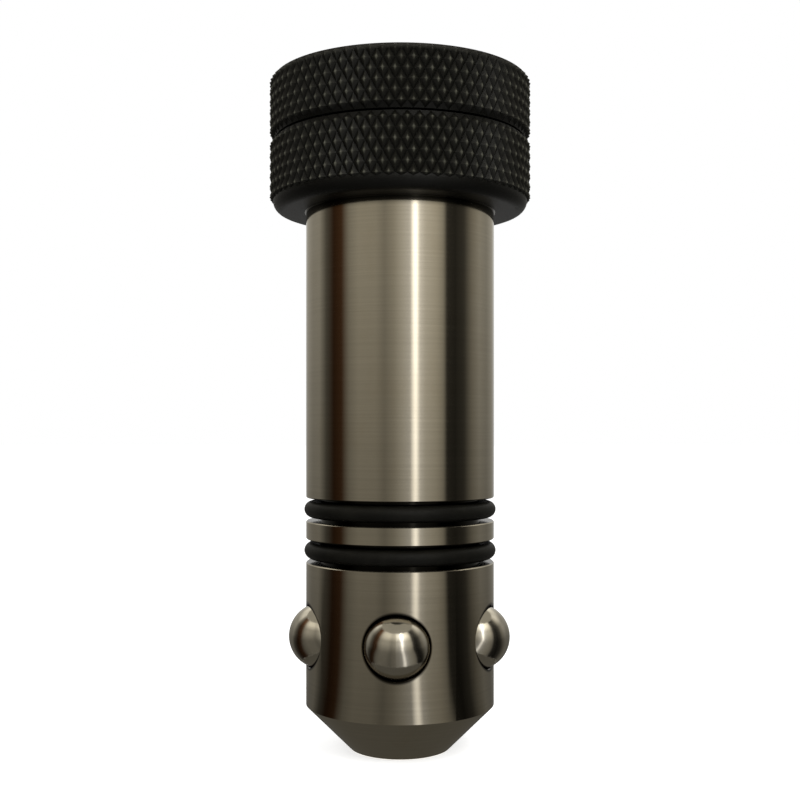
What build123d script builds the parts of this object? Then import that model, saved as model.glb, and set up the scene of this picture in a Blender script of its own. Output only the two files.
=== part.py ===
from build123d import *
import os
from math import cos, degrees, hypot, pi, radians, sin, sqrt, tan

# Five-ball clamping bolt, in millimetres. Z runs up the bolt's axis, and z = 0 is the flat end of
# its nose. It is modelled locked: the wheel is screwed down and the five balls stand out.

# Shank
shank_diameter = 28.0
grip_height = 79.6  # flat end of the nose to the underside of the head
nose_flat_diameter = 14.6
nose_half_angle = 45.0
nose_edge_break = 0.25
shank_wall = 4.5  # beside the cone's bore
upper_wall = 3.0  # beside the bush's bore
flange_thickness = 3.5
flange_recess = 0.3  # flange below the collar's top
collar_seat_step = 0.2  # the collar is pressed on a seat a little wider than the shank
drill_point_diameter = 8.0
drill_point_angle = 118.0

# Friction rings and their grooves
upper_ring_height = 35.6
ring_spacing = 6.1
ring_section = 2.4
ring_proud = 0.25
groove_width = 3.4
groove_edge_break = 0.15

# Locking balls
ball_count = 5
ball_diameter = 9.5
ball_plane_height = 17.2
ball_protrusion = 2.75  # past the shank's surface when locked
ball_recess = 0.1  # below the shank's surface when released
ball_clearance = 0.1  # round the ball in its hole
lip_clearance = 0.2  # a locked ball stops this far from the hole's lip
mouth_edge_break = 0.18

# Thrust cone
cone_half_angle = 40.0
cone_gap = 0.03  # cone to ball, square to both
cone_slide_clearance = 0.05
cone_guide_length = 17.0
cone_tip_margin = 0.8  # cone left below the released balls' contact
journal_step = 2.0  # spindle's thread down to its journal, on the radius
journal_clearance = 0.05
journal_bore_depth = 11.5
thrust_ball_inset = 2.0  # journal down to the thrust ball, on the radius
retaining_pin_diameter = 2.5
retaining_pin_depth = 4.5  # below the top of the cone

# Spindle and bush
thread_inset = 2.5  # cone's bore down to the thread's pitch radius
thread_lead = 4.0
thread_clearance = 0.05
neck_length = 5.5  # cone's top to the thread's end
bush_chamfer = 0.6
stop_ring_thickness = 1.2
stop_ring_offset = 1.5  # from the thread's end
stop_ring_depth = 0.7  # how deep the ring sits in the spindle
stop_ring_clearance = 0.5
stop_clearance = 0.25
bush_ring_thickness = 1.2
bush_ring_depth = 0.5  # how deep the ring sits in the shank
bush_ring_width = 2.2
retaining_ring_opening = 30.0  # degrees
retaining_ring_ear = 1.1  # radius round each eye
retaining_ring_eye = 0.55
head_float = 2.0  # spindle's head above the bush's ring
spindle_head_depth = 12.5  # below the flange's top
spindle_head_clearance = 0.1
spindle_top_recess = 0.5
hex_across_flats = 14.0
hex_depth = 11.0
hex_lead_in = 0.6
o_ring_section = 1.8
o_ring_groove_width = 2.4
o_ring_rise = 4.5  # above the underside of the spindle's head
wiper_width = 1.4
wiper_height = 2.2
wiper_cover = 0.8  # flange left above the wiper

# Head
head_diameter = 38.8
collar_height = 10.45
wheel_height = 8.55
head_gap = 0.3
collar_wall = 2.9  # of the lower ring, beside the shank's flange
collar_bottom_radius = 1.6
knurl_pitch = 1.7  # round the head
knurl_row_pitch = 1.44  # half a diamond's height
knurl_depth = 0.55
knurl_end_margin = 0.45  # plain rim beside the last row
groove_chamfer_height = 0.9  # of the V between the two rings
groove_chamfer_depth = 0.85
rim_depth = 0.5
wheel_face_recess = 0.5
wheel_face_rim = 2.2
wheel_pin_diameter = 3.0
wheel_pin_length = 6.0
collar_pin_diameter = 2.5
collar_pin_length = 3.0
head_pin_count = 3
head_pin_angle = 30.0  # of the first pin

fit_gap = 0.01  # between pieces fixed to each other
small_chamfer = 0.3

# Radii that follow
shank_radius = shank_diameter / 2
head_radius = head_diameter / 2
nose_flat_radius = nose_flat_diameter / 2
bore_radius = shank_radius - shank_wall
upper_bore_radius = shank_radius - upper_wall
seat_radius = shank_radius + collar_seat_step
flange_radius = head_radius - collar_wall
ring_radius = ring_section / 2
groove_floor_radius = shank_radius + ring_proud - ring_section
ball_radius = ball_diameter / 2
ball_hole_radius = ball_radius + ball_clearance
guide_radius = bore_radius - cone_slide_clearance
thread_radius = bore_radius - thread_inset
journal_radius = thread_radius - journal_step
journal_bore_radius = journal_radius + journal_clearance
thrust_ball_radius = journal_radius - thrust_ball_inset
retaining_pin_radius = retaining_pin_diameter / 2
spindle_head_radius = upper_bore_radius - spindle_head_clearance
hex_corner_radius = hex_across_flats / sqrt(3)

# Ball and cone mechanism: the ball's place gives the line of the cone that it bears on
ball_out = shank_radius + ball_protrusion - ball_radius
ball_in = shank_radius - ball_recess - ball_radius
ball_travel = ball_out - ball_in
cone_slope = tan(radians(cone_half_angle))
cone_travel = ball_travel / cone_slope
wheel_turn = 360 * cone_travel / thread_lead
contact_reach = (ball_radius + cone_gap) * cos(radians(cone_half_angle))
contact_rise = (ball_radius + cone_gap) * sin(radians(cone_half_angle))
contact_height = ball_plane_height + contact_rise
cone_tip_radius = ball_in - contact_reach - cone_tip_margin
cone_tip_height = contact_height - (ball_out - contact_reach - cone_tip_radius) / cone_slope
guide_bottom = contact_height + (guide_radius - ball_out + contact_reach) / cone_slope
cone_top = guide_bottom + cone_guide_length
journal_bore_floor = cone_top - journal_bore_depth
drill_slope = tan(radians(drill_point_angle / 2))
seat_apex = journal_bore_floor - journal_bore_radius / drill_slope
thrust_ball_height = seat_apex + (thrust_ball_radius + fit_gap) / sin(radians(drill_point_angle / 2))
retaining_pin_height = cone_top - retaining_pin_depth
bore_floor = ball_plane_height - ball_hole_radius

# Heights that follow, from the cone up
journal_end = thrust_ball_height + thrust_ball_radius + cone_gap
thread_bottom = cone_top + neck_length
stop_ring_bottom = thread_bottom + stop_ring_offset
stop_ring_top = stop_ring_bottom + stop_ring_thickness
bush_bottom = stop_ring_top + cone_travel + stop_clearance

# Heights that follow, from the head down
collar_top = grip_height + collar_height
wheel_bottom = collar_top + head_gap
wheel_top = wheel_bottom + wheel_height
flange_top = collar_top - flange_recess
flange_bottom = flange_top - flange_thickness
spindle_top = wheel_top - spindle_top_recess
spindle_head_bottom = flange_top - spindle_head_depth
bush_ring_top = spindle_head_bottom - head_float
bush_top = bush_ring_top - bush_ring_thickness
o_ring_height = spindle_head_bottom + o_ring_rise
wiper_top = flange_top - wiper_cover
wiper_bottom = wiper_top - wiper_height


def turned(points):
    """A solid turned round Z from the corners of its half section, as (radius, height)."""
    section = make_face(Polyline(*[(r, 0, z) for r, z in points], close=True))
    return revolve(section, Axis.Z)


def cylinder(radius, low, high):
    """A cylinder round Z between two heights."""
    disc = Plane.XY.offset(low) * Circle(radius)
    return extrude(disc, high - low)


def ring(inner, outer, low, high):
    """A flat ring round Z between two heights."""
    annulus = Plane.XY.offset(low) * (Circle(outer) - Circle(inner))
    return extrude(annulus, high - low)


def o_ring(centre_radius, section_radius, height):
    """A round-section ring at a height."""
    return Pos(0, 0, height) * Torus(centre_radius, section_radius)


def around(angle, radius, height=0.0):
    """A place at an angle round Z, with its own +X pointing outwards."""
    return Rot(0, 0, angle) * Pos(radius, 0, height)


def ball_angle(index):
    """The first ball faces -Y."""
    return index * 360 / ball_count - 90


def groove_points(height):
    """Corners of a friction ring's groove, from its lower edge to its upper edge."""
    low = height - groove_width / 2
    high = height + groove_width / 2
    return [
        (shank_radius, low - groove_edge_break),
        (shank_radius - groove_edge_break, low),
        (groove_floor_radius, low),
        (groove_floor_radius, high),
        (shank_radius - groove_edge_break, high),
        (shank_radius, high + groove_edge_break),
    ]


def ball_pocket(index):
    """Hole for one ball: a cylinder from the bore that ends in a spherical lip."""
    seat = ball_out + lip_clearance
    drill = Pos(seat / 2, 0, 0) * Cylinder(ball_hole_radius, seat, rotation=(0, 90, 0))
    lip = Pos(seat, 0, 0) * Sphere(ball_hole_radius)
    return around(ball_angle(index), 0, ball_plane_height) * (drill + lip)


def is_mouth(edge):
    """True for an edge that a ball hole leaves on the shank's surface."""
    points = [edge @ 0.25, edge @ 0.75]
    return edge.geom_type == GeomType.BSPLINE and all(
        abs(hypot(point.X, point.Y) - shank_radius) < fit_gap for point in points
    )


def pin_circle(radius, pin_radius, low, high):
    """Pins on a circle, each lying half in the inner piece and half in the outer one."""
    pin = Pos(radius, 0, 0) * cylinder(pin_radius, low, high)
    return [Rot(0, 0, head_pin_angle + i * 360 / head_pin_count) * pin for i in range(head_pin_count)]


def collar_pin_solids(gap=0.0):
    """Pins between the collar and the shank's flange, or their holes with a gap."""
    radius = collar_pin_diameter / 2 + gap
    return pin_circle(flange_radius, radius, flange_top - collar_pin_length - gap, flange_top + gap)


def wheel_pin_solids(gap=0.0):
    """Pins between the wheel and the spindle's head, or their holes with a gap."""
    radius = wheel_pin_diameter / 2 + gap
    return pin_circle(spindle_head_radius, radius, spindle_top - wheel_pin_length - gap, spindle_top + gap)


def make_shank():
    """Turned barrel with its nose, ring grooves, flange, stepped bore and ball holes."""
    nose_height = (shank_radius - nose_flat_radius) / tan(radians(nose_half_angle))
    bush_ring_groove = upper_bore_radius + bush_ring_depth
    drill_depth = drill_point_diameter / 2 / drill_slope
    wiper_groove = upper_bore_radius + wiper_width
    outside = [
        (0, 0),
        (nose_flat_radius, 0),
        (shank_radius, nose_height),
        *groove_points(upper_ring_height - ring_spacing),
        *groove_points(upper_ring_height),
        (shank_radius, grip_height),
        (seat_radius, grip_height),
        (seat_radius, flange_bottom),
        (flange_radius, flange_bottom),
        (flange_radius, flange_top),
    ]
    inside = [
        (upper_bore_radius, flange_top),
        (upper_bore_radius, wiper_top),
        (wiper_groove, wiper_top),
        (wiper_groove, wiper_bottom),
        (upper_bore_radius, wiper_bottom),
        (upper_bore_radius, bush_ring_top),
        (bush_ring_groove, bush_ring_top),
        (bush_ring_groove, bush_top),
        (upper_bore_radius, bush_top),
        (upper_bore_radius, bush_bottom),
        (bore_radius, bush_bottom),
        (bore_radius, bore_floor),
        (drill_point_diameter / 2, bore_floor),
        (0, bore_floor - drill_depth),
    ]
    # the seam of the turned faces lies midway between two balls
    body = Rot(0, 0, ball_angle(0.5)) * turned(outside + inside)
    nose_edges = body.edges().filter_by(GeomType.CIRCLE).group_by(Axis.Z)[0]
    body = chamfer(nose_edges, nose_edge_break)
    for index in range(ball_count):
        body -= ball_pocket(index)
    body = chamfer(body.edges().filter_by(is_mouth), mouth_edge_break)
    for pin in collar_pin_solids(fit_gap):
        body -= pin
    return body


def knurled_barrel(low, high, low_rim, high_rim, low_margin, high_margin):
    """A barrel whose side is a lattice of four-sided diamonds, between a plain rim at each end.

    Even and odd rows of points are staggered. A peak is a corner of four facets, and the valleys
    between the diamonds run round the barrel as two crossing families of helices.
    """
    band = high - low - low_margin - high_margin
    intervals = max(2, round(band / knurl_row_pitch))
    columns = 2 * round(pi * head_diameter / knurl_pitch)
    rows = [low] + [low + low_margin + band * j / intervals for j in range(intervals + 1)] + [high]

    def point(row, column):
        """Corner of the lattice: on a rim, on a peak or in a valley."""
        if row == 0:
            radius = low_rim
        elif row == len(rows) - 1:
            radius = high_rim
        elif (row + column) % 2 == 0:
            radius = head_radius
        else:
            radius = head_radius - knurl_depth
        angle = 2 * pi * (column % columns) / columns
        return Vector(radius * cos(angle), radius * sin(angle), rows[row])

    faces = []
    for row in range(len(rows) - 1):
        for column in range(columns):
            a = point(row, column)
            b = point(row, column + 1)
            c = point(row + 1, column + 1)
            d = point(row + 1, column)
            peak_first = (row + column) % 2 == 0
            triangles = [(a, b, d), (b, c, d)] if peak_first else [(a, b, c), (a, c, d)]
            faces += [Face(Wire.make_polygon(corners, close=True)) for corners in triangles]
    for row in (0, len(rows) - 1):
        rim = [point(row, column) for column in range(columns)]
        faces.append(Face(Wire.make_polygon(rim, close=True)))
    return Solid(Shell(faces))


def make_collar():
    """Lower ring of the head, knurled, with a round lower corner and a seat for the flange."""
    knurl_bottom = grip_height + collar_bottom_radius
    rim = head_radius - rim_depth
    barrel = knurled_barrel(
        knurl_bottom,
        collar_top,
        rim,
        head_radius - groove_chamfer_depth,
        knurl_end_margin,
        groove_chamfer_height,
    )
    foot = cylinder(rim - fit_gap, grip_height, knurl_bottom)
    foot = fillet(foot.edges().group_by(Axis.Z)[0], collar_bottom_radius - fit_gap)
    body = barrel + foot
    body -= cylinder(seat_radius + fit_gap, grip_height, collar_top)
    body -= cylinder(flange_radius + fit_gap, flange_bottom, collar_top)
    for pin in collar_pin_solids(fit_gap):
        body -= pin
    return body


def make_wheel():
    """Upper ring of the head, knurled, with a shallow recess in its top face."""
    barrel = knurled_barrel(
        wheel_bottom,
        wheel_top,
        head_radius - groove_chamfer_depth,
        head_radius - rim_depth,
        groove_chamfer_height,
        knurl_end_margin,
    )
    rim = head_radius - wheel_face_rim
    recess = turned(
        [
            (0, wheel_top - wheel_face_recess),
            (rim - wheel_face_recess, wheel_top - wheel_face_recess),
            (rim, wheel_top),
            (0, wheel_top),
        ]
    )
    body = barrel - recess
    body -= cylinder(spindle_head_radius + fit_gap, wheel_bottom, wheel_top)
    for pin in wheel_pin_solids(fit_gap):
        body -= pin
    return body


def make_spindle():
    """Screw with a hexagon socket in its head, and a journal that turns in the cone."""
    pin_groove = retaining_pin_radius + journal_clearance
    pin_groove_radius = journal_radius - pin_groove
    stop_groove_radius = thread_radius - stop_ring_depth
    o_ring_floor = upper_bore_radius - fit_gap - o_ring_section - fit_gap
    o_ring_half = o_ring_groove_width / 2
    body = turned(
        [
            (0, journal_end),
            (journal_radius - small_chamfer, journal_end),
            (journal_radius, journal_end + small_chamfer),
            (journal_radius, retaining_pin_height - pin_groove),
            (pin_groove_radius, retaining_pin_height - pin_groove),
            (pin_groove_radius, retaining_pin_height + pin_groove),
            (journal_radius, retaining_pin_height + pin_groove),
            (journal_radius, thread_bottom),
            (thread_radius - small_chamfer, thread_bottom),
            (thread_radius, thread_bottom + small_chamfer),
            (thread_radius, stop_ring_bottom - fit_gap),
            (stop_groove_radius, stop_ring_bottom - fit_gap),
            (stop_groove_radius, stop_ring_top + fit_gap),
            (thread_radius, stop_ring_top + fit_gap),
            (thread_radius, spindle_head_bottom),
            (spindle_head_radius - small_chamfer, spindle_head_bottom),
            (spindle_head_radius, spindle_head_bottom + small_chamfer),
            (spindle_head_radius, o_ring_height - o_ring_half),
            (o_ring_floor, o_ring_height - o_ring_half),
            (o_ring_floor, o_ring_height + o_ring_half),
            (spindle_head_radius, o_ring_height + o_ring_half),
            (spindle_head_radius, spindle_top - small_chamfer),
            (spindle_head_radius - small_chamfer, spindle_top),
            (0, spindle_top),
        ]
    )
    socket_floor = spindle_top - hex_depth
    hexagon = Plane.XY.offset(socket_floor) * RegularPolygon(hex_corner_radius, 6)
    body -= extrude(hexagon, hex_depth)
    body -= turned(
        [
            (0, spindle_top - hex_lead_in),
            (hex_corner_radius - hex_lead_in, spindle_top - hex_lead_in),
            (hex_corner_radius, spindle_top),
            (0, spindle_top),
        ]
    )
    for pin in wheel_pin_solids(fit_gap):
        body -= pin
    return body


def make_bush():
    """Nut of the screw. Its thread is modelled as a plain bore at the pitch diameter."""
    outer = upper_bore_radius - fit_gap
    inner = thread_radius + thread_clearance
    return turned(
        [
            (inner + bush_chamfer, bush_bottom),
            (outer - bush_chamfer, bush_bottom),
            (outer, bush_bottom + bush_chamfer),
            (outer, bush_top - bush_chamfer),
            (outer - bush_chamfer, bush_top),
            (inner + bush_chamfer, bush_top),
            (inner, bush_top - bush_chamfer),
            (inner, bush_bottom + bush_chamfer),
        ]
    )


def split_ring(inner, outer, low, high, eye_radius):
    """A retaining ring: a flat ring with an opening and an eye at each side of it."""
    half = retaining_ring_opening / 2
    body = ring(inner, outer, low, high)
    wedge = make_face(
        Polyline(
            (0, 0, low),
            (2 * outer * cos(radians(half)), -2 * outer * sin(radians(half)), low),
            (2 * outer * cos(radians(half)), 2 * outer * sin(radians(half)), low),
            close=True,
        )
    )
    body -= extrude(wedge, high - low, dir=(0, 0, 1))
    eye_angle = half + degrees(retaining_ring_ear / eye_radius)
    for side in (-1, 1):
        place = around(side * eye_angle, eye_radius)
        body += place * cylinder(retaining_ring_ear, low, high)
        body -= place * cylinder(retaining_ring_eye, low, high)
    return body


def make_bush_ring():
    """Internal retaining ring, with its eyes on its inner side."""
    outer = upper_bore_radius + bush_ring_depth - fit_gap
    inner = outer - bush_ring_width
    eye_radius = inner + retaining_ring_ear / 2
    return split_ring(inner, outer, bush_top + fit_gap, bush_ring_top - fit_gap, eye_radius)


def make_stop_ring():
    """External retaining ring on the spindle, with its eyes on its outer side."""
    inner = thread_radius - stop_ring_depth + fit_gap
    outer = bore_radius - stop_ring_clearance
    eye_radius = outer - retaining_ring_ear
    return split_ring(inner, outer, stop_ring_bottom, stop_ring_top, eye_radius)


def cone_pin_solids(gap=0.0):
    """Two cross pins in the cone, which lie in the groove of the spindle's journal."""
    radius = retaining_pin_radius + gap
    reach = guide_radius - cone_slide_clearance
    half = sqrt(reach**2 - (journal_radius + retaining_pin_radius) ** 2) + gap
    pin = Cylinder(radius, 2 * half, rotation=(0, 90, 0))
    return [Pos(0, side * journal_radius, retaining_pin_height) * pin for side in (-1, 1)]


def make_cone():
    """Thrust cone: guide barrel above, cone below, and a blind bore for the spindle's journal."""
    body = turned(
        [
            (0, cone_tip_height),
            (cone_tip_radius, cone_tip_height),
            (guide_radius, guide_bottom),
            (guide_radius, cone_top - small_chamfer),
            (guide_radius - small_chamfer, cone_top),
            (journal_bore_radius + small_chamfer, cone_top),
            (journal_bore_radius, cone_top - small_chamfer),
            (journal_bore_radius, journal_bore_floor),
            (0, seat_apex),
        ]
    )
    for pin in cone_pin_solids(fit_gap):
        body -= pin
    return body


def make_ball(index):
    """One locking ball, standing out."""
    return around(ball_angle(index), ball_out, ball_plane_height) * Sphere(ball_radius)


def make_wiper():
    """Wiper ring in the flange's groove, just clear of the spindle's head."""
    inner = spindle_head_radius + spindle_head_clearance / 2
    outer = upper_bore_radius + wiper_width - fit_gap
    return ring(inner, outer, wiper_bottom + fit_gap, wiper_top - fit_gap)


def friction_ring(height):
    """Rubber ring on the floor of its groove."""
    return o_ring(groove_floor_radius + fit_gap + ring_radius, ring_radius, height)


def make_spindle_o_ring():
    """Rubber ring in the spindle's head, against the shank's bore."""
    section_radius = o_ring_section / 2
    return o_ring(upper_bore_radius - fit_gap - section_radius, section_radius, o_ring_height)


def save(name, *solids):
    """Write one node. Several solids stay separate in it."""
    shape = solids[0] if len(solids) == 1 else Compound(children=list(solids))
    shape.label = name
    export_step(shape, f"parts/{name}.step")


os.makedirs("parts", exist_ok=True)

save("shank", make_shank())
save("collar_ring", make_collar())
save("collar_pins", *collar_pin_solids())
save("threaded_bush", make_bush())
save("bush_retaining_ring", make_bush_ring())
save("upper_friction_ring", friction_ring(upper_ring_height))
save("lower_friction_ring", friction_ring(upper_ring_height - ring_spacing))
save("dust_wiper_ring", make_wiper())
save("thrust_cone", make_cone())
save("thrust_ball", Pos(0, 0, thrust_ball_height) * Sphere(thrust_ball_radius))
save("cone_retaining_pins", *cone_pin_solids())
save("spindle", make_spindle())
save("spindle_stop_ring", make_stop_ring())
save("spindle_o_ring", make_spindle_o_ring())
save("hand_wheel", make_wheel())
save("wheel_pins", *wheel_pin_solids())
for index in range(ball_count):
    save(f"ball_{index + 1}", make_ball(index))

print("ball travel", round(ball_travel, 4))
print("cone travel", round(cone_travel, 4))
print("wheel turn", round(wheel_turn, 3))
print("bush length", round(bush_top - bush_bottom, 3))
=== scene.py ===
import math

import bmesh
import bpy
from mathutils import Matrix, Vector


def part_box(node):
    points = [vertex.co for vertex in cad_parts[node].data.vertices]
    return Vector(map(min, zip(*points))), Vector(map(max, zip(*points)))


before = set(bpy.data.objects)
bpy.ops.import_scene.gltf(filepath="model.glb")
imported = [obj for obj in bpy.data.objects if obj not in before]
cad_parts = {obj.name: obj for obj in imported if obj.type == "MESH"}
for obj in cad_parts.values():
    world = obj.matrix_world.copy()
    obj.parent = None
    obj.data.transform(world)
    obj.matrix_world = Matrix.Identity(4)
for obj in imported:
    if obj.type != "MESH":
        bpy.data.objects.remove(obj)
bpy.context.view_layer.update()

MM = 0.001
BALLS = 5
BALL_HEIGHT = (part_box("ball_1")[0][2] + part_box("ball_1")[1][2]) / 2
MOUTH_RADIUS = 4.68 * MM
SHANK_RADIUS, NOSE_HEIGHT = 14.0 * MM, 6.7 * MM
HEAD_RADIUS, KNURL_DEPTH = 19.4 * MM, 0.55 * MM
HEAD_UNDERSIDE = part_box("collar_ring")[0][2]
scene = bpy.context.scene
scene.view_settings.view_transform = "Standard"


# ---------------------------------------------------------------- materials


class Shader:
    """A node material, built step by step round one Principled shader."""

    def __init__(self, name):
        self.material = bpy.data.materials.new(name)
        self.material.use_nodes = True
        self.nodes = self.material.node_tree.nodes
        self.links = self.material.node_tree.links
        self.bsdf = self.nodes["Principled BSDF"]
        self.place = self.nodes.new("ShaderNodeTexCoord").outputs["Object"]

    def set(self, **values):
        for key, value in values.items():
            self.bsdf.inputs[key.replace("_", " ")].default_value = value

    def noise(self, scale, stretch=(1, 1, 1), detail=3.0, roughness=0.6):
        """Noise in the object's own space. The scale is features per metre."""
        mapping = self.nodes.new("ShaderNodeMapping")
        mapping.inputs["Scale"].default_value = stretch
        self.links.new(self.place, mapping.inputs["Vector"])
        texture = self.nodes.new("ShaderNodeTexNoise")
        texture.inputs["Scale"].default_value = scale
        texture.inputs["Detail"].default_value = detail
        texture.inputs["Roughness"].default_value = roughness
        self.links.new(mapping.outputs["Vector"], texture.inputs["Vector"])
        return texture.outputs["Fac"]

    def span(self, source, low, high, from_low=0.3, from_high=0.7):
        """Run from low to high while the source runs from from_low to from_high."""
        node = self.nodes.new("ShaderNodeMapRange")
        node.inputs["From Min"].default_value = from_low
        node.inputs["From Max"].default_value = from_high
        node.inputs["To Min"].default_value = low
        node.inputs["To Max"].default_value = high
        self.links.new(source, node.inputs["Value"])
        return node.outputs["Result"]

    def math(self, operation, a, b):
        node = self.nodes.new("ShaderNodeMath")
        node.operation = operation
        for value, socket in zip((a, b), node.inputs):
            if isinstance(value, (int, float)):
                socket.default_value = value
            else:
                self.links.new(value, socket)
        return node.outputs[0]

    def blend(self, factor, first, second):
        """Mix two colours, each an output or an (r, g, b)."""
        node = self.nodes.new("ShaderNodeMix")
        node.data_type = "RGBA"
        self.links.new(factor, node.inputs["Factor"])
        colour_sockets = [s for s in node.inputs if s.type == "RGBA"]
        for value, socket in zip((first, second), colour_sockets):
            if isinstance(value, tuple):
                socket.default_value = (*value, 1)
            else:
                self.links.new(value, socket)
        return [s for s in node.outputs if s.type == "RGBA"][0]

    def axes(self):
        """The x, y and z of the place on the object, in metres."""
        split = self.nodes.new("ShaderNodeSeparateXYZ")
        self.links.new(self.place, split.inputs[0])
        return split.outputs

    def distance(self, a, b):
        """Length of a step of a and b at right angles."""
        squares = [self.math("MULTIPLY", value, value) for value in (a, b)]
        return self.math("SQRT", self.math("ADD", *squares), 0.0)

    def bearing(self, x, y):
        """Angle round the axis in radians, 0 at the front and positive to the right."""
        return self.math("ARCTAN2", x, self.math("MULTIPLY", y, -1.0))

    def radius(self):
        """Distance from the bolt's axis, in metres."""
        x, y, _ = self.axes()
        return self.distance(x, y)

    def height(self):
        """Height above the nose, in metres."""
        return self.axes()[2]

    def from_ball(self):
        """Distance along the shank's surface from the middle of the nearest ball, in metres."""
        x, y, z = self.axes()
        turn = self.math("ADD", self.bearing(x, y), 2 * math.pi)
        aside = self.math("MULTIPLY", self.math("PINGPONG", turn, math.pi / BALLS), SHANK_RADIUS)
        above = self.math("SUBTRACT", z, BALL_HEIGHT)
        return self.distance(aside, above)

    def edges(self, low, high):
        """0 in hollows and on flats, 1 on sharp outer edges."""
        point = self.nodes.new("ShaderNodeNewGeometry").outputs["Pointiness"]
        return self.span(point, 0.0, 1.0, low, high)

    def colour(self, source):
        self.links.new(source, self.bsdf.inputs["Base Color"])

    def roughness(self, source):
        self.links.new(source, self.bsdf.inputs["Roughness"])

    def bump(self, source, strength, distance):
        node = self.nodes.new("ShaderNodeBump")
        node.inputs["Strength"].default_value = strength
        node.inputs["Distance"].default_value = distance
        self.links.new(source, node.inputs["Height"])
        self.links.new(node.outputs["Normal"], self.bsdf.inputs["Normal"])


def scaled(colour, *factors):
    """A colour times one factor, or times one factor for each channel."""
    return tuple(c * k for c, k in zip(colour, factors if len(factors) == 3 else factors * 3))


RING_CONTRAST = 0.05
OXIDE_TINT = (0.86, 0.80, 0.70)
# colours of painted shade: under the head, in the ring grooves, round the ball holes
CORNER_SHADE, GROOVE_SHADE = (0.02, 0.018, 0.014), (0.012, 0.011, 0.009)
MOUTH_SHADE = (0.010, 0.009, 0.007)
# where the painted shade is full and where it has faded out, beside the place named
CORNER_FULL, CORNER_CLEAR = 0.1 * MM, 1.3 * MM
GROOVE_FULL, GROOVE_CLEAR = 0.25 * MM, 0.06 * MM
MOUTH_FULL, MOUTH_CLEAR = 0.1 * MM, 0.42 * MM
NOSE_FADE = 0.5 * MM


def painted_shade_on_shank(s, base):
    """Painted shade in the corner under the head, in the ring grooves, and in and round the ball
    holes.
    """
    # painted shade in the corner under the head
    corner_shade = s.span(
        s.height(), 0.0, 0.93, HEAD_UNDERSIDE - CORNER_CLEAR, HEAD_UNDERSIDE - CORNER_FULL
    )
    base = s.blend(corner_shade, base, CORNER_SHADE)
    # painted shade in the ring grooves, above the nose
    below = s.span(s.radius(), 1.0, 0.0, SHANK_RADIUS - GROOVE_FULL, SHANK_RADIUS - GROOVE_CLEAR)
    above_nose = s.span(s.height(), 0.0, 1.0, NOSE_HEIGHT, NOSE_HEIGHT + NOSE_FADE)
    base = s.blend(s.math("MULTIPLY", below, above_nose), base, GROOVE_SHADE)
    # painted shade in a ring round each ball hole
    mouth_shade = s.span(s.from_ball(), 0.94, 0.0, MOUTH_RADIUS + MOUTH_FULL, MOUTH_RADIUS + MOUTH_CLEAR)
    return s.blend(mouth_shade, base, MOUTH_SHADE)


def turned_steel(name, colour, roughness, ring_pitch, ring_depth, with_painted_shade=False):
    """Bare steel with the fine rings that turning and grinding leave round its axis."""
    s = Shader(name)
    s.set(Metallic=1.0)
    rings = s.noise(1 / ring_pitch, (0.012, 0.012, 1), detail=4.0, roughness=0.7)
    clouds = s.noise(160, (1, 1, 0.5), detail=4.0)
    specks = s.noise(2600, detail=2.0)
    dark = scaled(colour, 1 - RING_CONTRAST)
    light = scaled(colour, 1 + RING_CONTRAST)
    base = s.blend(s.span(rings, 0, 1), dark, light)
    stain = s.span(clouds, 0.0, 0.35, 0.5, 0.8)
    base = s.blend(stain, base, scaled(colour, *OXIDE_TINT))
    # painted shade under the head, in the ring grooves and round the ball holes
    if with_painted_shade:
        base = painted_shade_on_shank(s, base)
    s.colour(base)
    rough = s.span(rings, roughness * 0.85, roughness * 1.2)
    rough = s.math("ADD", rough, s.span(clouds, 0.0, 0.035, 0.45, 0.75))
    rough = s.math("ADD", rough, s.span(specks, 0.0, 0.02, 0.5, 0.75))
    s.roughness(rough)
    s.bump(s.math("ADD", rings, s.span(specks, 0, 0.12)), 0.35, ring_depth)
    return s.material


PHOSPHATE, PHOSPHATE_WORN = (0.05, 0.048, 0.042), (0.3, 0.29, 0.27)
PHOSPHATE_ROUGHNESS = 0.42


def phosphated(name):
    """Oiled phosphated spring steel, rubbed bright on its edges."""
    s = Shader(name)
    s.set(Metallic=0.0, IOR=1.6)
    clouds = s.noise(220, detail=5.0)
    grain = s.noise(5200, detail=3.0)
    base = s.blend(s.span(clouds, 0, 1, 0.4, 0.7), PHOSPHATE, scaled(PHOSPHATE, 1.9, 1.8, 1.5))
    wear = s.math("MULTIPLY", s.edges(0.55, 0.7), s.span(clouds, 0.35, 1.0, 0.3, 0.6))
    s.colour(s.blend(wear, base, PHOSPHATE_WORN))
    rough = s.span(grain, PHOSPHATE_ROUGHNESS - 0.08, PHOSPHATE_ROUGHNESS + 0.08)
    s.roughness(s.math("ADD", rough, s.span(clouds, -0.04, 0.06)))
    s.bump(grain, 0.3, 0.02 * MM)
    return s.material


# the valley colour is the oxide's black darkened further as painted shade
VALLEY_BLACK_AND_SHADE, FLANK_BLACK = (0.0022, 0.0021, 0.0015), (0.0105, 0.0100, 0.0070)
TIP_BURNISH = (0.085, 0.083, 0.062)
FACE_DARK, FACE_PALE = (0.013, 0.0125, 0.010), (0.024, 0.023, 0.018)
# how far under the wheel's face its colour starts, and where it is full
FACE_START, FACE_FULL = 0.75 * MM, 0.5 * MM


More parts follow.
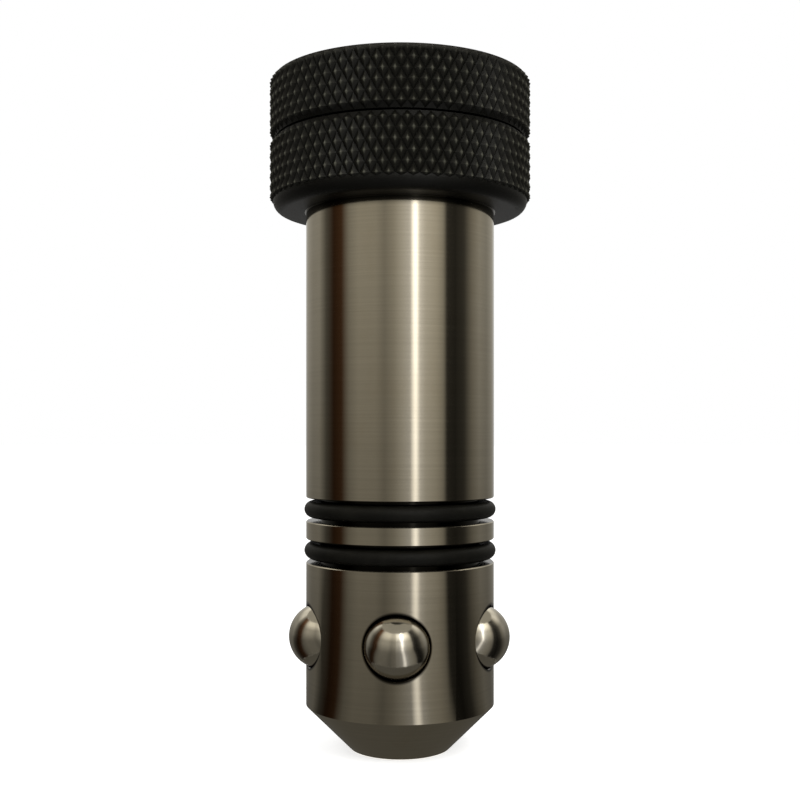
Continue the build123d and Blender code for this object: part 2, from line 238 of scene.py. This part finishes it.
def knurled_oxide(name, face=None):
    """Black oxide: matt black, darker still as painted shade in the knurl's valleys and below
    them, burnished on its tips, wiped on its face.
    """
    s = Shader(name)
    s.set(Metallic=0.0, IOR=1.5)
    s.bsdf.inputs["Specular IOR Level"].default_value = 0.22
    radius = s.radius()
    clouds = s.noise(260, detail=5.0)
    grain = s.noise(5200, detail=3.0)
    flank = s.span(
        radius, 0.0, 1.0, HEAD_RADIUS - KNURL_DEPTH, HEAD_RADIUS - 0.25 * KNURL_DEPTH
    )
    tip = s.span(
        radius, 0.0, 1.0, HEAD_RADIUS - 0.36 * KNURL_DEPTH, HEAD_RADIUS - 0.04 * KNURL_DEPTH
    )
    burnish = s.math("MULTIPLY", tip, s.span(clouds, 0.45, 1.0, 0.35, 0.6))
    # painted shade: darkest in the knurl's valleys and everywhere nearer the axis
    base = s.blend(flank, VALLEY_BLACK_AND_SHADE, FLANK_BLACK)
    base = s.blend(burnish, base, TIP_BURNISH)
    if face is not None:
        # the flat top is handled and wiped, and paler than the valleys
        top = s.span(s.height(), 0.0, 1.0, face - FACE_START, face - FACE_FULL)
        handled = s.blend(s.span(clouds, 0.0, 1.0), FACE_DARK, FACE_PALE)
        base = s.blend(top, base, handled)
    s.colour(base)
    rough = s.span(grain, 0.38, 0.55)
    s.roughness(s.math("ADD", rough, s.math("MULTIPLY", burnish, -0.12)))
    s.bump(grain, 0.3, 0.02 * MM)
    return s.material


def rubber(name, colour):
    """Matt moulded rubber with a faint bloom."""
    s = Shader(name)
    s.set(Metallic=0.0, IOR=1.5)
    s.bsdf.inputs["Specular IOR Level"].default_value = 0.2
    clouds = s.noise(300, detail=4.0)
    grain = s.noise(6000, detail=3.0)
    s.colour(s.blend(s.span(clouds, 0, 1, 0.45, 0.75), colour, scaled(colour, 2)))
    s.roughness(s.span(grain, 0.42, 0.62))
    s.bump(grain, 0.4, 0.015 * MM)
    return s.material


def polished_ball(name, colour, roughness):
    """Ground and polished steel, with faint handling marks."""
    s = Shader(name)
    s.set(Metallic=1.0)
    clouds = s.noise(350, detail=4.0)
    marks = s.noise(1500, (1, 1, 9), detail=5.0, roughness=0.7)
    s.colour(s.blend(s.span(clouds, 0, 1, 0.4, 0.75), colour, scaled(colour, 0.88)))
    rough = s.span(marks, roughness * 0.6, roughness * 1.5)
    s.roughness(s.math("ADD", rough, s.span(clouds, 0, 0.02)))
    s.bump(marks, 0.12, 0.004 * MM)
    return s.material


SHANK_STEEL, BALL_STEEL = (0.60, 0.545, 0.44), (0.72, 0.67, 0.57)
SPINDLE_STEEL, CONE_STEEL = (0.34, 0.32, 0.28), (0.32, 0.30, 0.27)
BUSH_STEEL, THRUST_BALL_STEEL = (0.50, 0.47, 0.40), (0.70, 0.68, 0.62)
# for each turned piece: material's name, colour, roughness, and pitch and depth of its rings in mm
TURNED = {
    "spindle": ("spindle_hardened_steel", SPINDLE_STEEL, 0.24, 0.22, 0.006),
    "thrust_cone": ("cone_hardened_steel", CONE_STEEL, 0.20, 0.2, 0.005),
    "threaded_bush": ("bush_turned_steel", BUSH_STEEL, 0.28, 0.35, 0.01),
    "collar_pins": ("collar_pin_steel", (0.48, 0.46, 0.41), 0.26, 0.2, 0.006),
    "wheel_pins": ("wheel_pin_steel", (0.50, 0.48, 0.43), 0.24, 0.2, 0.006),
    "cone_retaining_pins": ("cone_pin_steel", (0.45, 0.43, 0.39), 0.24, 0.2, 0.006),
}
MATERIALS = {
    "shank": turned_steel(
        "shank_ground_steel", SHANK_STEEL, 0.085, 0.28 * MM, 0.002 * MM, with_painted_shade=True
    ),
    "collar_ring": knurled_oxide("collar_black_oxide"),
    "hand_wheel": knurled_oxide("wheel_black_oxide", face=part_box("hand_wheel")[1][2]),
    "bush_retaining_ring": phosphated("bush_ring_phosphate"),
    "spindle_stop_ring": phosphated("stop_ring_phosphate"),
    "upper_friction_ring": rubber("upper_ring_rubber", (0.0032, 0.0030, 0.0020)),
    "lower_friction_ring": rubber("lower_ring_rubber", (0.0030, 0.0028, 0.0019)),
    "spindle_o_ring": rubber("spindle_ring_rubber", (0.012, 0.012, 0.012)),
    "dust_wiper_ring": rubber("wiper_rubber", (0.014, 0.014, 0.013)),
    "thrust_ball": polished_ball("thrust_ball_steel", THRUST_BALL_STEEL, 0.08),
}
for name, (material_name, colour, roughness, pitch, depth) in TURNED.items():
    MATERIALS[name] = turned_steel(material_name, colour, roughness, pitch * MM, depth * MM)
for i in range(1, BALLS + 1):
    MATERIALS[f"ball_{i}"] = polished_ball(f"ball_{i}_steel", BALL_STEEL, 0.12)

for name, material in MATERIALS.items():
    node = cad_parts[name]
    for slot in node.material_slots:
        slot.material = material


# -------------------------------------------------------------------- stage


def link(name, mesh, material):
    obj = bpy.data.objects.new(name, mesh)
    obj.data.materials.append(material)
    scene.collection.objects.link(obj)
    return obj


def turned_mesh(name, profile, steps):
    """Surface swept round the axis from a profile of (radius, height) points."""
    bm = bmesh.new()
    rows = []
    for i in range(steps):
        a = 2 * math.pi * i / steps
        rows.append([bm.verts.new((r * math.cos(a), r * math.sin(a), z)) for r, z in profile])
    for first, second in zip(rows, rows[1:] + rows[:1]):
        for k in range(len(profile) - 1):
            bm.faces.new((first[k], second[k], second[k + 1], first[k + 1]))
    mesh = bpy.data.meshes.new(name)
    bm.to_mesh(mesh)
    bm.free()
    return mesh


def even_glow(name, colour, strength):
    """Material of a card that glows evenly."""
    material = bpy.data.materials.new(name)
    material.use_nodes = True
    nodes, links = material.node_tree.nodes, material.node_tree.links
    nodes.clear()
    glow = nodes.new("ShaderNodeEmission")
    glow.inputs["Color"].default_value = (*colour, 1)
    glow.inputs["Strength"].default_value = strength
    links.new(glow.outputs[0], nodes.new("ShaderNodeOutputMaterial").inputs["Surface"])
    return material


def camera_or_mirror(nodes, links):
    """1 for rays from the camera and for what metal and glass mirror, else 0."""
    path = nodes.new("ShaderNodeLightPath")
    total = path.outputs["Is Camera Ray"]
    for name in ("Is Glossy Ray", "Is Transmission Ray"):
        both = nodes.new("ShaderNodeMath")
        both.operation = "MAXIMUM"
        links.new(total, both.inputs[0])
        links.new(path.outputs[name], both.inputs[1])
        total = both.outputs[0]
    return total


def mirrored_only(obj):
    """A card shows in polished metal, and neither in the picture nor as light or shadow."""
    obj.visible_camera = False
    obj.visible_diffuse = False
    obj.visible_shadow = False
    obj.visible_transmission = False


TENT_RADIUS, TENT_HEIGHT, TENT_STEPS = 0.6, 0.75, 90
SHADE_CARD_RADIUS, CLOTH_HOLE, CLOTH_STEPS = 0.024, 1e-4, 48
ROOF_RADIUS, ROOF_HEIGHT = 0.59, 0.74
OVER_FLOOR = 0.0001
# the floor disc's glow is painted shade under the object, seen only in the steel
FLOOR_SHADE_LEVEL, ROOF_CLOTH_LEVEL = 0.085, 0.32
TENT_PEAK = 2.4
WARM, UMBER = (1.0, 0.95, 0.82), (1.0, 0.5, 0.25)
GREY, NEUTRAL = (1.0, 0.97, 0.88), (1.0, 0.99, 0.96)
# light tent round the object: degrees (0 in front, 90 at the right), glow, and its colour
TENT = [
    (-165, 0.55, NEUTRAL),
    (-150, 0.34, GREY),
    (-128, 0.26, GREY),
    (-111, 0.27, GREY),
    (-97, 0.08, WARM),
    (-84, 0.026, UMBER),
    (-71, 0.05, UMBER),
    (-60, 0.22, WARM),
    (-48, 0.30, WARM),
    (-27, 0.29, WARM),
    (-16, 0.21, WARM),
    (-5, 0.30, WARM),
    (5, 0.46, GREY),
    (14, 0.60, NEUTRAL),
    (17.5, 1.7, NEUTRAL),
    (20.5, 2.4, NEUTRAL),
    (25, 0.80, NEUTRAL),
    (32, 0.56, GREY),
    (46, 0.42, WARM),
    (54, 0.28, WARM),
    (59, 0.032, WARM),
    (72, 0.014, WARM),
    (85, 0.045, WARM),
    (98, 0.19, WARM),
    (112, 0.29, GREY),
    (130, 0.24, GREY),
    (150, 0.34, GREY),
    (165, 0.55, NEUTRAL),
]


def tent_cloth():
    """Glow that changes round the object, and grows outwards on the floor and up the wall."""
    s = Shader("tent_cloth")
    x, y, z = s.axes()
    ramp = s.nodes.new("ShaderNodeValToRGB")
    s.links.new(s.span(s.bearing(x, y), 0.0, 1.0, -math.pi, math.pi), ramp.inputs["Fac"])
    stops = ramp.color_ramp.elements
    while len(stops) < len(TENT):
        stops.new(0.5)
    for stop, (angle, level, tint) in zip(stops, TENT):
        stop.position = (angle + 180) / 360
        stop.color = (*(level / TENT_PEAK * c for c in tint), 1)
    along_floor = s.span(s.distance(x, y), 0.42, 0.68, 0.03, 0.3)
    up_wall = s.math("ADD", s.span(z, 0.0, 0.5, 0.0, 0.18), s.span(z, 0.0, 1.7, 0.28, 0.5))
    strength = s.math("MULTIPLY", s.math("ADD", along_floor, up_wall), TENT_PEAK)
    glow = s.nodes.new("ShaderNodeEmission")
    s.links.new(ramp.outputs["Color"], glow.inputs["Color"])
    s.links.new(strength, glow.inputs["Strength"])
    s.links.new(glow.outputs[0], s.nodes["Material Output"].inputs["Surface"])
    s.nodes.remove(s.bsdf)
    return s.material


tent_profile = ((SHADE_CARD_RADIUS, OVER_FLOOR), (TENT_RADIUS, OVER_FLOOR), (TENT_RADIUS, TENT_HEIGHT))
tent_mesh = turned_mesh("light_tent", tent_profile, TENT_STEPS)
mirrored_only(link("light_tent", tent_mesh, tent_cloth()))

# a dim glowing disc on the floor under the object, painted shade there, and a dark, dimly glowing
# roof: only the steel mirrors them
for name, height, reach, level in (
    ("floor_shade_card", OVER_FLOOR, SHADE_CARD_RADIUS, FLOOR_SHADE_LEVEL),
    ("roof_cloth", ROOF_HEIGHT, ROOF_RADIUS, ROOF_CLOTH_LEVEL),
):
    mesh = turned_mesh(name, ((CLOTH_HOLE, height), (reach, height)), CLOTH_STEPS)
    mirrored_only(link(name, mesh, even_glow(name + "_glow", WARM, level)))

# floor: pale and matt, lifted to white for the camera, with the object's shadow kept
FLOOR_HALF_WIDTH, FLOOR_DROP = 4.0, 0.02 * MM
FLOOR_LIFT = 0.62
floor_mesh = bpy.data.meshes.new("floor")
bm = bmesh.new()
bmesh.ops.create_grid(bm, x_segments=1, y_segments=1, size=FLOOR_HALF_WIDTH)
bmesh.ops.translate(bm, verts=bm.verts, vec=(0, 0, -FLOOR_DROP))
bm.to_mesh(floor_mesh)
bm.free()
floor_material = bpy.data.materials.new("floor_paper")
floor_material.use_nodes = True
nodes, links = floor_material.node_tree.nodes, floor_material.node_tree.links
paper = nodes["Principled BSDF"]
paper.inputs["Base Color"].default_value = (0.82, 0.82, 0.81, 1)
paper.inputs["Roughness"].default_value = 0.9
paper.inputs["Specular IOR Level"].default_value = 0.1
lift = nodes.new("ShaderNodeEmission")
strength = nodes.new("ShaderNodeMath")
strength.operation = "MULTIPLY"
strength.inputs[1].default_value = FLOOR_LIFT
links.new(camera_or_mirror(nodes, links), strength.inputs[0])
links.new(strength.outputs[0], lift.inputs["Strength"])
both = nodes.new("ShaderNodeAddShader")
links.new(paper.outputs[0], both.inputs[0])
links.new(lift.outputs[0], both.inputs[1])
links.new(both.outputs[0], nodes["Material Output"].inputs["Surface"])
link("floor", floor_mesh, floor_material)

# world: soft white light, and full white for the camera and for what mirrors it
WORLD_LIGHT, WORLD_WHITE = 0.55, 1.0
world = bpy.data.worlds.new("studio")
scene.world = world
world.use_nodes = True
nodes, links = world.node_tree.nodes, world.node_tree.links
nodes.clear()
mix = nodes.new("ShaderNodeMixShader")
links.new(camera_or_mirror(nodes, links), mix.inputs["Fac"])
for socket, level in ((mix.inputs[1], WORLD_LIGHT), (mix.inputs[2], WORLD_WHITE)):
    background = nodes.new("ShaderNodeBackground")
    background.inputs["Color"].default_value = (1, 1, 1, 1)
    background.inputs["Strength"].default_value = level
    links.new(background.outputs[0], socket)
links.new(mix.outputs[0], nodes.new("ShaderNodeOutputWorld").inputs["Surface"])

SOFTBOX_WIDTH = 0.7
SOFTBOX_AIM = Vector((0, 0, 0.05))


def softbox(name, place, energy):
    lamp = bpy.data.lights.new(name, "AREA")
    lamp.shape = "SQUARE"
    lamp.size = SOFTBOX_WIDTH
    lamp.energy = energy
    obj = bpy.data.objects.new(name, lamp)
    obj.location = place
    obj.rotation_euler = (SOFTBOX_AIM - Vector(place)).to_track_quat("-Z", "Y").to_euler()
    obj.visible_glossy = False
    scene.collection.objects.link(obj)


softbox("key_softbox", (0.5, -0.7, 0.9), energy=9.0)
softbox("fill_softbox", (-0.8, -0.3, 0.8), energy=4.0)

# ------------------------------------------------------------------- camera

CAMERA_DISTANCE = 0.172
CAMERA_HEIGHT = 0.0469
CAMERA_TURN = math.radians(2.0)
camera_data = bpy.data.cameras.new("camera")
camera_data.lens = 51.75
camera_data.sensor_width = 36.0
camera_data.shift_y = 0.041
camera_data.clip_start = 0.005
camera_data.clip_end = 20.0
camera = bpy.data.objects.new("camera", camera_data)
camera.location = (
    CAMERA_DISTANCE * math.sin(CAMERA_TURN),
    -CAMERA_DISTANCE * math.cos(CAMERA_TURN),
    CAMERA_HEIGHT,
)
camera.rotation_euler = (math.pi / 2, 0, CAMERA_TURN)
scene.collection.objects.link(camera)
scene.camera = camera
